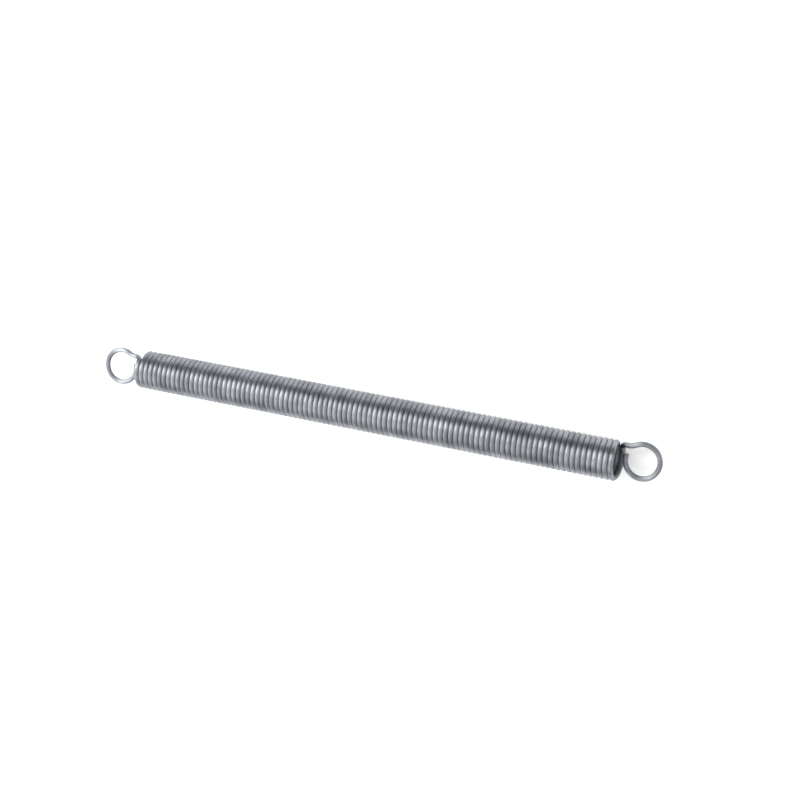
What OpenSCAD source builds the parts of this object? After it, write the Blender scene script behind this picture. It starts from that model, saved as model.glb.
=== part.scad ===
/* [Wire] */
// Diameter of the round wire
wire_d = 1.2; // [0.8:0.05:1.4]

/* [Coil] */
// Outer diameter of the coil
coil_od = 9; // [8:0.1:12]
// Whole turns of the coil, besides the half turn that brings its two side points to opposite sides
coil_turns = 95; // [4:1:110]
// Gap between neighbouring turns at rest
turn_gap = 0.02; // [0.02:0.02:0.34]
// How far past its side point the last turn goes on before it bends out, in degrees
leave_angle = 40; // [30:1:50]

/* [Loops] */
// Mean diameter of the loop at each end
loop_mean_d = 7.7; // [7:0.1:8.4]
// Distance from the coil's last side point to the centre of the loop
loop_reach = 5; // [4.4:0.1:6]
// Distance of the loop's plane from the coil's axis, towards the side where its wire leaves
loop_side = 2; // [1.6:0.1:2.4]
// Distance of the loop's centre from the coil's axis, within the plane of the loop
loop_lift = 0.3; // [0:0.1:0.6]
// Where the bend runs into the loop, in degrees from the end of the spring
loop_start = 118; // [108:1:124]
// How much of a circle the loop goes round from there, in degrees
loop_sweep = 314; // [240:1:318]

/* [Hidden] */
coil_facets = 48;
wire_facets = 24;
// A short collar of wire joins two bends, so that they are one solid: how much thicker it is in radius,
// how long it is, and how far short of its middle each of the two bends stops, inside it
joint_swell = 0.01;
joint_length = 0.1;
joint_trim = 0.02;

pitch = wire_d + turn_gap;
coil_r = (coil_od - wire_d) / 2;
// Each half turn is a half ring, tilted by the lead, so that the rings meet end to end. Its radius is
// rounded to four decimals, because the exact solids are rebuilt from numbers of six digits
half_r = round(sqrt(coil_r * coil_r + pitch * pitch / 16) * 10000) / 10000;
lead = asin(pitch / 4 / half_r);
half_turns = 2 * coil_turns + 1;
coil_end = half_turns * pitch / 4;

// The wire leaves the coil here, in a frame at the last side point of the coil's axis
leave_p = [
  half_r * sin(lead) * (1 - cos(leave_angle)),
  half_r * sin(leave_angle),
  -half_r * cos(lead) * cos(leave_angle)
];
leave_t = [sin(lead) * sin(leave_angle), cos(leave_angle), cos(lead) * sin(leave_angle)];

// The loop's centre, and where the bend meets the loop, in the same frame
loop_r = loop_mean_d / 2;
loop_c = [loop_reach, loop_lift, -loop_side];
join_p = loop_c + loop_r * [cos(loop_start), sin(loop_start), 0];
join_t = [sin(loop_start), -cos(loop_start), 0];

// The bend is two arcs that share a tangent where they meet
bend_chord = join_p - leave_p;
bend_a = 2 * (1 - leave_t * join_t);
bend_b = 2 * bend_chord * (leave_t + join_t);
bend_c = -bend_chord * bend_chord;
bend_arm = (-bend_b + sqrt(bend_b * bend_b - 4 * bend_a * bend_c)) / (2 * bend_a);
bend_mid = (leave_p + join_p + bend_arm * (leave_t - join_t)) / 2;
bend_t = unit(join_p - leave_p - bend_arm * (leave_t + join_t));

function unit(v) = v / norm(v);

// The angle that the trimmed length takes up on a ring of a given radius
function trim_angle(radius) = joint_trim / radius * 180 / PI;

// A ring of wire of a given radius, round by an angle from its start on the X axis
module ring_arc(radius, angle) {
  rotate_extrude(angle = angle, $fn = coil_facets)
    translate([radius, 0])
      circle(d = wire_d, $fn = wire_facets);
}

// A bent length of wire that leaves p in direction t and ends at q
module wire_arc(p, t, q) {
  chord = q - p;
  inward = unit(chord - (chord * t) * t);
  half_angle = acos(chord * t / norm(chord));
  radius = norm(chord) / (2 * sin(half_angle));
  out = -inward;
  side = cross(out, t);
  centre = p + radius * inward;
  multmatrix([
    [out[0], t[0], side[0], centre[0]],
    [out[1], t[1], side[1], centre[1]],
    [out[2], t[2], side[2], centre[2]]
  ])
    rotate([0, 0, trim_angle(radius)])
      ring_arc(radius, 2 * half_angle - 2 * trim_angle(radius));
}

// The collar that joins two bends at p, along the wire's direction t
module joint(p, t) {
  side = unit(cross(t, [0, 0, 1]));
  up = cross(t, side);
  multmatrix([
    [side[0], up[0], t[0], p[0]],
    [side[1], up[1], t[1], p[1]],
    [side[2], up[2], t[2], p[2]]
  ])
    cylinder(d = wire_d + 2 * joint_swell, h = joint_length, center = true, $fn = wire_facets);
}

// The half turns of the coil, along X, which start and end at its sides
module coil() {
  for (i = [0 : half_turns - 1])
    translate([-coil_end + i * pitch / 2, 0, 0])
      rotate([180 * (i % 2), 0, 0])
        half_turn(180);
}

// Part of a turn from the near side over the lower edge, along X
module half_turn(angle) {
  translate([half_r * sin(lead), 0, 0])
    multmatrix([
      [-sin(lead), 0, cos(lead), 0],
      [0, -1, 0, 0],
      [cos(lead), 0, sin(lead), 0]
    ])
      ring_arc(half_r, angle);
}

// The last part of a turn, the bend out of the coil and the loop
module coil_end_loop() {
  translate([coil_end, 0, 0]) {
    rotate([180, 0, 0])
      half_turn(leave_angle - trim_angle(half_r));
    joint(leave_p, leave_t);
    wire_arc(leave_p, leave_t, bend_mid);
    joint(bend_mid, bend_t);
    wire_arc(bend_mid, bend_t, join_p);
    joint(join_p, join_t);
    translate(loop_c)
      rotate([0, 0, loop_start - loop_sweep])
        ring_arc(loop_r, loop_sweep - trim_angle(loop_r));
  }
}

// The whole spring lies on its coil, with both loops flat
module spring() {
  color([0.66, 0.68, 0.71])
    translate([0, 0, coil_od / 2])
      union() {
        coil();
        coil_end_loop();
        rotate([0, 180, 0])
          coil_end_loop();
      }
}

spring();
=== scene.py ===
import math

import bpy
from mathutils import Matrix, Vector


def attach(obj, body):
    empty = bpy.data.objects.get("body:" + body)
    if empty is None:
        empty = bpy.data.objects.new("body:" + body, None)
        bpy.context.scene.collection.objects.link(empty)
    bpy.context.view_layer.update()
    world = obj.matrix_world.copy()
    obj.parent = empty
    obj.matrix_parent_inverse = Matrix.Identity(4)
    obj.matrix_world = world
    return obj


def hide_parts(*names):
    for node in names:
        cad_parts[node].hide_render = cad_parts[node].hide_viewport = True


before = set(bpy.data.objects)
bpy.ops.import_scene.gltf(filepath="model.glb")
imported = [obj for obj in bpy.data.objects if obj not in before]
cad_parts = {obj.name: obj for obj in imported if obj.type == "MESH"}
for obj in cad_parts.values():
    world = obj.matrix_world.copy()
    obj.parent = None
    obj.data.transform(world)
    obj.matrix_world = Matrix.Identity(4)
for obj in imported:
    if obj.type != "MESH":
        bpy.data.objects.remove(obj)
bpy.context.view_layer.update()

# The sizes of the part's source, with lengths in millimetres and angles turned into radians
WIRE_D = 1.2  # diameter of the round wire
COIL_OD = 9.0  # outer diameter of the coil
COIL_TURNS = 95  # whole turns, besides the half turn that brings the two side points to opposite sides
TURN_GAP = 0.02  # gap between neighbouring turns
LEAVE_ANGLE = math.radians(40)  # how far past its side point the last turn goes on before it bends out
LOOP_MEAN_D = 7.7  # mean diameter of the loop at each end
LOOP_REACH = 5.0  # from the coil's last side point to the loop's centre, along the coil
LOOP_SIDE = 2.0  # distance of the loop's plane from the coil's axis
LOOP_LIFT = 0.3  # distance of the loop's centre from the coil's axis, within the loop's plane
LOOP_START = math.radians(118)  # where the bend runs into the loop
LOOP_SWEEP = math.radians(314)  # how much of a circle the loop goes round from there
MM_PER_M = 1000

# Each half turn is a half ring, tilted by the lead, so that the rings meet end to end. Its radius is
# rounded as in the part's source
PITCH = WIRE_D + TURN_GAP
COIL_R = (COIL_OD - WIRE_D) / 2
HALF_R = round(math.hypot(COIL_R, PITCH / 4), 4)
LEAD = math.asin(PITCH / 4 / HALF_R)
HALF_TURNS = 2 * COIL_TURNS + 1
COIL_END = HALF_TURNS * PITCH / 4

# How finely the wire is drawn
HALF_TURN_STEPS = 24
LEAVE_STEPS = 8
BEND_STEPS = 14
LOOP_STEPS = 84
WIRE_SIDES = 16

# The wire's UV map holds the length along the wire in millimetres, and the way round it from 0 to 1.
# Each flat end takes a small oval of it
WIRE_UV = "wire"
END_UV_MIDDLE = 0.5
END_UV_LENGTH = 0.3
END_UV_ROUND = 0.1

# The wire's darker and lighter tone
DARK_TONE = (0.245, 0.257, 0.279, 1)
LIGHT_TONE = (0.372, 0.387, 0.415, 1)

# The floor and the cards, in metres. The floor lies just below the part, so that the two don't share a plane
FLOOR_HALF = 3.0
FLOOR_DROP = 0.00002
FLOOR_COLOUR = (0.86, 0.86, 0.86, 1)
FLOOR_GLOW = 0.32  # what is added to the floor's brightness where it is seen
CARD_RIGHT = 1.8  # where both cards end, along X
MATT_ROUGHNESS = 0.9
WHITE = (1, 1, 1, 1)

# The view, fitted to the photograph
IMAGE_PX = 800
SENSOR_MM = 36
FOCAL_PX = 1746.3
DISTANCE = 0.39721  # from the camera forward to the middle of the coil, in metres
AXIS_SLOPE = math.radians(10.762)  # how far the coil's axis slopes down to the right in the picture
AXIS_TILT = math.radians(19.327)  # how far the axis turns its right end towards the camera
ROLL = math.radians(14.855)  # how far the part's upper side turns down in the picture, about that axis
CENTRE_PX = (369.83, 412.68)  # where the middle of the coil lies in the picture


# Objects and materials

def add_object(name, data):
    """A new object in the scene."""
    added = bpy.data.objects.new(name, data)
    bpy.context.collection.objects.link(added)
    return added


def add_panel(name, corners):
    """A flat panel with four corners."""
    mesh = bpy.data.meshes.new(name)
    mesh.from_pydata(corners, [], [(0, 1, 2, 3)])
    return add_object(name, mesh)


def new_material(name):
    """A material made of nodes, and its main shader."""
    material = bpy.data.materials.new(name)
    material.use_nodes = True
    return material, material.node_tree.nodes["Principled BSDF"]


# The wire, whose path is in millimetres

def half_turn(a):
    """A point of a half turn, at angle a from its start. X runs along the coil from there."""
    return Vector((
        HALF_R * math.sin(LEAD) * (1 - math.cos(a)),
        -HALF_R * math.sin(a),
        HALF_R * math.cos(LEAD) * math.cos(a),
    ))


def arc(p, t, q, steps):
    """Points of the arc that leaves p in direction t and ends at q, without p itself."""
    chord = q - p
    inward = (chord - chord.dot(t) * t).normalized()
    half_angle = math.acos(chord.dot(t) / chord.length)
    radius = chord.length / (2 * math.sin(half_angle))
    centre = p + radius * inward
    points = []
    for i in range(1, steps + 1):
        a = 2 * half_angle * i / steps
        points.append(centre + radius * (math.sin(a) * t - math.cos(a) * inward))
    return points


def end_path():
    """From the coil's last side point to the loop's free end, measured from the coil's axis there."""
    points = []
    for i in range(1, LEAVE_STEPS + 1):
        p = half_turn(LEAVE_ANGLE * i / LEAVE_STEPS)
        points.append(Vector((p.x, -p.y, -p.z)))
    leave_p = points[-1]
    leave_t = Vector((
        math.sin(LEAD) * math.sin(LEAVE_ANGLE),
        math.cos(LEAVE_ANGLE),
        math.cos(LEAD) * math.sin(LEAVE_ANGLE),
    ))
    loop_r = LOOP_MEAN_D / 2
    loop_c = Vector((LOOP_REACH, LOOP_LIFT, -LOOP_SIDE))
    join_p = loop_c + loop_r * Vector((math.cos(LOOP_START), math.sin(LOOP_START), 0))
    join_t = Vector((math.sin(LOOP_START), -math.cos(LOOP_START), 0))

    # The bend is two arcs that share a tangent where they meet
    chord = join_p - leave_p
    a = 2 * (1 - leave_t.dot(join_t))
    b = 2 * chord.dot(leave_t + join_t)
    c = -chord.dot(chord)
    arm = (-b + math.sqrt(b * b - 4 * a * c)) / (2 * a)
    mid = (leave_p + join_p + arm * (leave_t - join_t)) / 2
    mid_t = (join_p - leave_p - arm * (leave_t + join_t)).normalized()
    points += arc(leave_p, leave_t, mid, BEND_STEPS)
    points += arc(mid, mid_t, join_p, BEND_STEPS)

    for i in range(1, LOOP_STEPS + 1):
        w = LOOP_START - LOOP_SWEEP * i / LOOP_STEPS
        points.append(loop_c + loop_r * Vector((math.cos(w), math.sin(w), 0)))
    return points


def wire_path():
    """The whole wire, from the left loop's free end to the right loop's, in the part's frame."""
    end = end_path()
    points = [Vector((-COIL_END - p.x, p.y, -p.z)) for p in reversed(end)]
    for i in range(HALF_TURNS):
        side = -1 if i % 2 else 1
        for k in range(HALF_TURN_STEPS):
            p = half_turn(math.pi * k / HALF_TURN_STEPS)
            points.append(Vector((-COIL_END + i * PITCH / 2 + p.x, side * p.y, side * p.z)))
    last = half_turn(math.pi)
    points.append(Vector((COIL_END - PITCH / 2 + last.x, side * last.y, side * last.z)))
    points += [Vector((COIL_END + p.x, p.y, p.z)) for p in end]
    return [Vector((p.x, p.y, p.z + COIL_OD / 2)) for p in points]


def across_path(path):
    """For each point of a path, two directions across it, which don't twist about it."""
    tangents = []
    for i in range(len(path)):
        before = path[max(i - 1, 0)]
        after = path[min(i + 1, len(path) - 1)]
        tangents.append((after - before).normalized())
    normal = tangents[0].orthogonal().normalized()
    directions = [(normal, tangents[0].cross(normal))]
    for last, tangent in zip(tangents, tangents[1:]):
        normal = last.rotation_difference(tangent) @ normal
        normal = (normal - normal.dot(tangent) * tangent).normalized()
        directions.append((normal, tangent.cross(normal)))
    return directions


def sweep(name, path, radius, sides):
    """A round wire along a path, with flat ends and a UV map."""
    circle = []
    for k in range(sides):
        a = 2 * math.pi * k / sides
        circle.append((math.cos(a), math.sin(a)))
    verts = []
    for p, (normal, side) in zip(path, across_path(path)):
        for c, s in circle:
            verts.append((p + radius * (c * normal + s * side)) / MM_PER_M)

    faces = []
    uvs = []
    here = 0.0
    for i in range(len(path) - 1):
        start = i * sides
        there = here + (path[i + 1] - path[i]).length
        for k in range(sides):
            j = (k + 1) % sides
            faces.append((start + k, start + j, start + sides + j, start + sides + k))
            v = k / sides
            next_v = (k + 1) / sides
            uvs += [(here, v), (here, next_v), (there, next_v), (there, v)]
        here = there
    faces.append(tuple(range(sides - 1, -1, -1)))
    faces.append(tuple(range(len(verts) - sides, len(verts))))
    for length in (0.0, here):
        for c, s in circle:
            uvs.append((length + END_UV_LENGTH * c, END_UV_MIDDLE + END_UV_ROUND * s))

    mesh = bpy.data.meshes.new(name)
    mesh.from_pydata([tuple(v) for v in verts], [], faces)
    layer = mesh.uv_layers.new(name=WIRE_UV)
    for loop, uv in zip(layer.data, uvs):
        loop.uv = uv
    # The last two faces are the wire's flat ends
    for poly in mesh.polygons[:-2]:
        poly.use_smooth = True
    mesh.update()
    return add_object(name, mesh)


def wire_material():
    """Grey metal with fine streaks along the wire, and a little unevenness in its tone."""
    material, shader = new_material("spring_wire")
    nodes = material.node_tree.nodes
    links = material.node_tree.links
    shader.inputs["Metallic"].default_value = 1.0
    # Drawn wire is rougher across its streaks than along them
    shader.inputs["Anisotropic"].default_value = 0.75
    shader.inputs["Anisotropic Rotation"].default_value = 0.25
    along = nodes.new("ShaderNodeTangent")
    along.direction_type = "UV_MAP"
    along.uv_map = WIRE_UV
    links.new(along.outputs["Tangent"], shader.inputs["Tangent"])

    uv = nodes.new("ShaderNodeUVMap")
    uv.uv_map = WIRE_UV
    stretch = nodes.new("ShaderNodeMapping")
    stretch.inputs["Scale"].default_value = (0.35, 22.0, 1.0)
    links.new(uv.outputs["UV"], stretch.inputs["Vector"])
    streaks = nodes.new("ShaderNodeTexNoise")
    streaks.inputs["Scale"].default_value = 1.0
    streaks.inputs["Detail"].default_value = 4.0
    links.new(stretch.outputs["Vector"], streaks.inputs["Vector"])

    place = nodes.new("ShaderNodeTexCoord")
    patches = nodes.new("ShaderNodeTexNoise")
    patches.inputs["Scale"].default_value = 260.0
    patches.inputs["Detail"].default_value = 3.0
    links.new(place.outputs["Object"], patches.inputs["Vector"])

    tone = nodes.new("ShaderNodeValToRGB")
    dark, light = tone.color_ramp.elements
    dark.position = 0.36
    dark.color = DARK_TONE
    light.position = 0.64
    light.color = LIGHT_TONE
    links.new(patches.outputs["Fac"], tone.inputs["Fac"])
    links.new(tone.outputs["Color"], shader.inputs["Base Color"])

    rough = nodes.new("ShaderNodeMapRange")
    rough.inputs["To Min"].default_value = 0.44
    rough.inputs["To Max"].default_value = 0.6
    links.new(streaks.outputs["Fac"], rough.inputs["Value"])
    links.new(rough.outputs["Result"], shader.inputs["Roughness"])

    bump = nodes.new("ShaderNodeBump")
    bump.inputs["Strength"].default_value = 0.12
    bump.inputs["Distance"].default_value = 0.00002
    links.new(streaks.outputs["Fac"], bump.inputs["Height"])
    links.new(bump.outputs["Normal"], shader.inputs["Normal"])
    return material


# Floor, cards, light and background

def seen_rays(tree):
    """A socket that is 1 for what is seen, also in metal and through glass, and 0 for other light."""
    rays = tree.nodes.new("ShaderNodeLightPath")
    seen = tree.nodes.new("ShaderNodeMath")
    seen.operation = "ADD"
    tree.links.new(rays.outputs["Is Camera Ray"], seen.inputs[0])
    tree.links.new(rays.outputs["Is Glossy Ray"], seen.inputs[1])
    any_seen = tree.nodes.new("ShaderNodeMath")
    any_seen.operation = "ADD"
    any_seen.use_clamp = True
    tree.links.new(seen.outputs["Value"], any_seen.inputs[0])
    tree.links.new(rays.outputs["Is Transmission Ray"], any_seen.inputs[1])
    return any_seen.outputs["Value"]


def pale_floor():
    """A pale floor that reads as white to the camera and in reflections, and keeps the shadow."""
    h = FLOOR_HALF
    floor = add_panel("floor", [(-h, -h, 0), (h, -h, 0), (h, h, 0), (-h, h, 0)])
    floor.location.z = -FLOOR_DROP
    material, shader = new_material("pale_floor")
    nodes = material.node_tree.nodes
    links = material.node_tree.links
    shader.inputs["Base Color"].default_value = FLOOR_COLOUR
    shader.inputs["Roughness"].default_value = MATT_ROUGHNESS
    shader.inputs["Specular IOR Level"].default_value = 0.1
    glow = nodes.new("ShaderNodeEmission")
    glow.inputs["Color"].default_value = WHITE
    lift = nodes.new("ShaderNodeMath")
    lift.operation = "MULTIPLY"
    lift.inputs[1].default_value = FLOOR_GLOW
    links.new(seen_rays(material.node_tree), lift.inputs[0])
    links.new(lift.outputs["Value"], glow.inputs["Strength"])
    both = nodes.new("ShaderNodeAddShader")
    links.new(shader.outputs["BSDF"], both.inputs[0])
    links.new(glow.outputs["Emission"], both.inputs[1])
    links.new(both.outputs["Shader"], nodes["Material Output"].inputs["Surface"])
    floor.data.materials.append(material)


def add_card(name, left, low, high, colour):
    """A card along the spring, out of the picture, which the metal shows as a darker band.

    It runs from left to CARD_RIGHT along X. low and high are the Y and Z of its two long edges.
    """
    right = CARD_RIGHT
    card = add_panel(name, [(left, *low), (right, *low), (right, *high), (left, *high)])
    card.visible_camera = False
    card.visible_shadow = False
    card.visible_diffuse = False
    material, shader = new_material(name)
    shader.inputs["Base Color"].default_value = (*colour, 1)
    shader.inputs["Roughness"].default_value = MATT_ROUGHNESS
    card.data.materials.append(material)


def world_light():
    """Soft light from all round, which is seen as plain white."""
    world = bpy.data.worlds.new("studio")
    bpy.context.scene.world = world
    world.use_nodes = True
    nodes = world.node_tree.nodes
    links = world.node_tree.links
    light = nodes["Background"]
    light.inputs["Color"].default_value = WHITE
    light.inputs["Strength"].default_value = 0.8
    white = nodes.new("ShaderNodeBackground")
    white.inputs["Color"].default_value = WHITE
    white.inputs["Strength"].default_value = 1.0
    mix = nodes.new("ShaderNodeMixShader")
    links.new(seen_rays(world.node_tree), mix.inputs["Fac"])
    links.new(light.outputs["Background"], mix.inputs[1])
    links.new(white.outputs["Background"], mix.inputs[2])
    links.new(mix.outputs["Shader"], nodes["World Output"].inputs["Surface"])


def add_lamp(name, place, target, size, power):
    """A soft lamp at a place, turned to a target. Its size is in metres and its power in watts."""
    light = bpy.data.lights.new(name, "AREA")
    light.shape = "RECTANGLE"
    light.size, light.size_y = size
    light.energy = power
    lamp = add_object(name, light)
    lamp.location = place
    lamp.rotation_euler = (Vector(target) - Vector(place)).to_track_quat("-Z", "Y").to_euler()


# Camera

def place_camera():
    """A camera that sees the coil's axis, its tilt and its place as the photograph shows them."""
    # The part's X, Y and Z directions, as the camera sees them: to the right, down and forward
    x = Vector((
        math.cos(AXIS_TILT) * math.cos(AXIS_SLOPE),
        math.cos(AXIS_TILT) * math.sin(AXIS_SLOPE),
        -math.sin(AXIS_TILT),
    ))
    up = Vector((math.sin(AXIS_SLOPE), -math.cos(AXIS_SLOPE), 0))
    toward = x.cross(up)
    y = math.cos(ROLL) * up + math.sin(ROLL) * toward
    z = -math.sin(ROLL) * up + math.cos(ROLL) * toward
    middle = DISTANCE * Vector((
        (CENTRE_PX[0] - IMAGE_PX / 2) / FOCAL_PX,
        (CENTRE_PX[1] - IMAGE_PX / 2) / FOCAL_PX,
        1,
    ))

    # The camera's own directions, in the part's frame
    right = Vector((x.x, y.x, z.x))
    down = Vector((x.y, y.y, z.y))
    forward = Vector((x.z, y.z, z.z))
    centre = Vector((0, 0, COIL_OD / 2 / MM_PER_M))
    eye = centre - (middle.x * right + middle.y * down + middle.z * forward)
    turn = Matrix((
        (right.x, -down.x, -forward.x),
        (right.y, -down.y, -forward.y),
        (right.z, -down.z, -forward.z),
    ))
    data = bpy.data.cameras.new("camera")
    data.sensor_width = SENSOR_MM
    data.sensor_fit = "HORIZONTAL"
    data.lens = FOCAL_PX / IMAGE_PX * SENSOR_MM
    data.clip_start = 0.01
    camera = add_object("camera", data)
    camera.matrix_world = Matrix.Translation(eye) @ turn.to_4x4()
    bpy.context.scene.camera = camera


# The scene

spring = sweep("spring_wire_swept", wire_path(), WIRE_D / 2, WIRE_SIDES)
spring.data.materials.append(wire_material())
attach(spring, "root")
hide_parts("spring")

pale_floor()
add_card("far_card", left=-1.8, low=(0.34, 0.012), high=(0.3, 0.31), colour=(0.02, 0.02, 0.022))
add_card("near_card", left=-0.12, low=(-0.3, 0.0), high=(-0.3, 0.13), colour=(0.15, 0.15, 0.155))
world_light()
add_lamp("key", place=(-0.45, 0.24, 0.56), target=(-0.03, 0, 0), size=(0.6, 0.26), power=4.6)
add_lamp("fill", place=(-0.42, -0.27, 0.34), target=(-0.06, 0, 0), size=(0.35, 0.3), power=0.9)

place_camera()
bpy.context.scene.view_settings.view_transform = "Standard"
